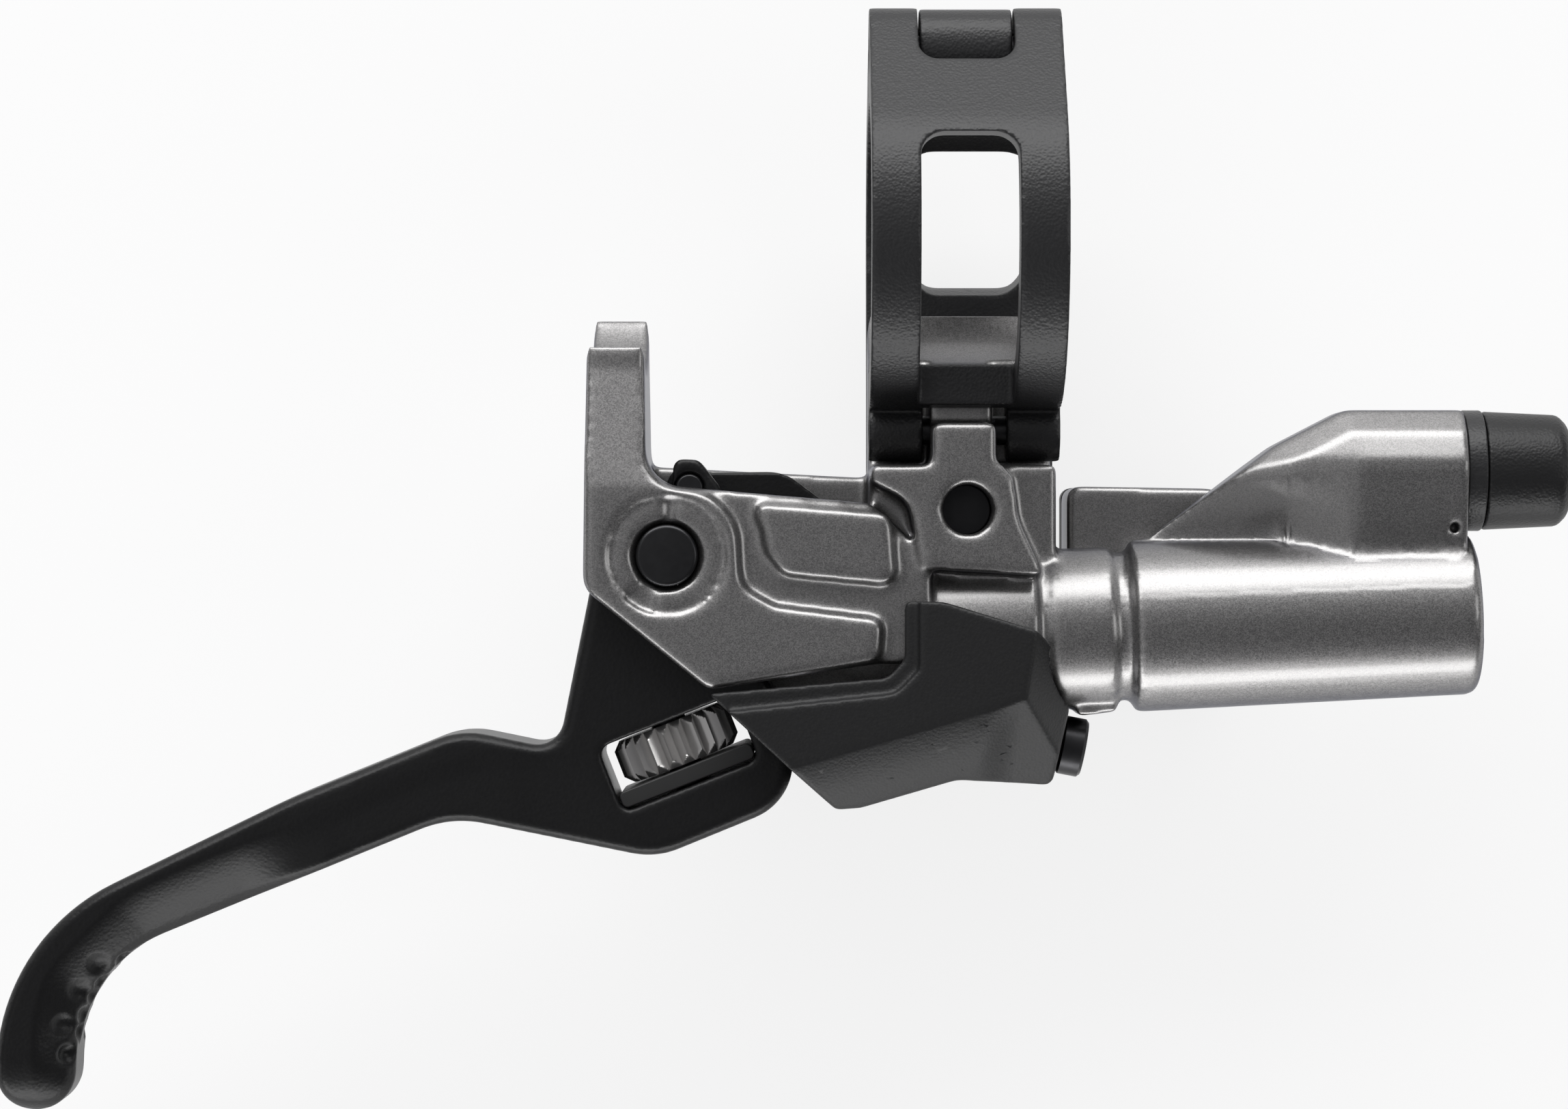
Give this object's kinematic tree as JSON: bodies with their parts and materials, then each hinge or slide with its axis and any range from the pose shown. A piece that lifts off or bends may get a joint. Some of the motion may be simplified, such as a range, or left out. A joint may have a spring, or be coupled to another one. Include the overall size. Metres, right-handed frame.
{
  "type": "bicycle hydraulic brake lever",
  "caption": "Hydraulic bicycle brake lever with hinged bar clamp, master cylinder, finger blade, reach wheel and hose nut.",
  "frame": {"origin": "centre of the handlebar's clamped length", "axes": "+X along the bar away from the grip, +Y from the blade towards the rider, +Z out of the clamp's front band"},
  "size_m": [0.1306, 0.0918, 0.0337],
  "materials": {
    "body_paint": "satin metallic grey",
    "band_black": "textured black",
    "lever_black": "satin black anodised",
    "cover_plastic": "textured black",
    "wheel_grey": "dark grey anodised",
    "keeper_plastic": "matte",
    "steel": "plated",
    "dark_steel": "black oxide",
    "aluminium": "turned",
    "bronze": "sintered",
    "seal_rubber": "moulded",
    "boot_rubber": "moulded"
  },
  "bodies": {
    "bracket": {"body_casting": "body_paint", "clamp_front_band": "band_black", "clamp_rear_band": "band_black", "clamp_hinge_pin": "steel", "clamp_foot_pin": "steel", "clamp_bolt": "dark_steel", "pivot_pin": "dark_steel", "pivot_clip": "steel", "return_spring": "steel", "stop_washer": "steel", "retaining_ring": "steel", "reservoir_diaphragm": "seal_rubber", "reservoir_cover": "cover_plastic", "reservoir_screws": "dark_steel", "bleed_screw": "dark_steel", "bleed_seal": "seal_rubber", "hose_nut": "dark_steel", "hose_ferrule": "bronze", "hose_boot": "boot_rubber", "linkage_cover": "cover_plastic", "cover_screw": "dark_steel", "free_stroke_screw": "dark_steel"},
    "lever": {"lever_blade": "lever_black", "pivot_bushing_upper": "bronze", "pivot_bushing_lower": "bronze", "adjuster_keeper": "keeper_plastic", "link_pin": "dark_steel"},
    "reach_wheel": {"adjuster_wheel": "wheel_grey", "adjuster_screw": "dark_steel"},
    "link": {"push_link": "lever_black"},
    "piston": {"piston": "aluminium", "primary_seal": "seal_rubber", "secondary_seal": "seal_rubber"}
  },
  "joints": [
    {"name": "lever_pivot", "type": "hinge", "parent": "bracket", "child": "lever", "pos_m": [-0.0247, -0.0266, 0], "axis": [0, 0, -1], "range_deg": [0, 20], "stiffness_Nm_per_rad": 0.35, "springref_deg": -17.19},
    {"name": "reach_turn", "type": "hinge", "parent": "lever", "child": "reach_wheel", "pos_m": [-0.0241, -0.0422, 0], "axis": [-0.3665, 0.9304, 0], "range_deg": [-720, 720]},
    {"name": "link_pivot", "type": "hinge", "parent": "lever", "child": "link", "pos_m": [-0.0229, -0.021, 0], "axis": [0, 0, 1], "range_deg": [0, 24]},
    {"name": "piston_slide", "type": "slide", "parent": "bracket", "child": "piston", "axis": [0.9993, 0.0384, 0], "range_m": [0, 0.0026], "deforming": ["return_spring"]}
  ],
  "couplings": [
    {"joint": "link_pivot", "follows": "lever_pivot", "ratio": 1.174},
    {"joint": "piston_slide", "follows": "lever_pivot", "m_per_rad": 0.007234}
  ]
}
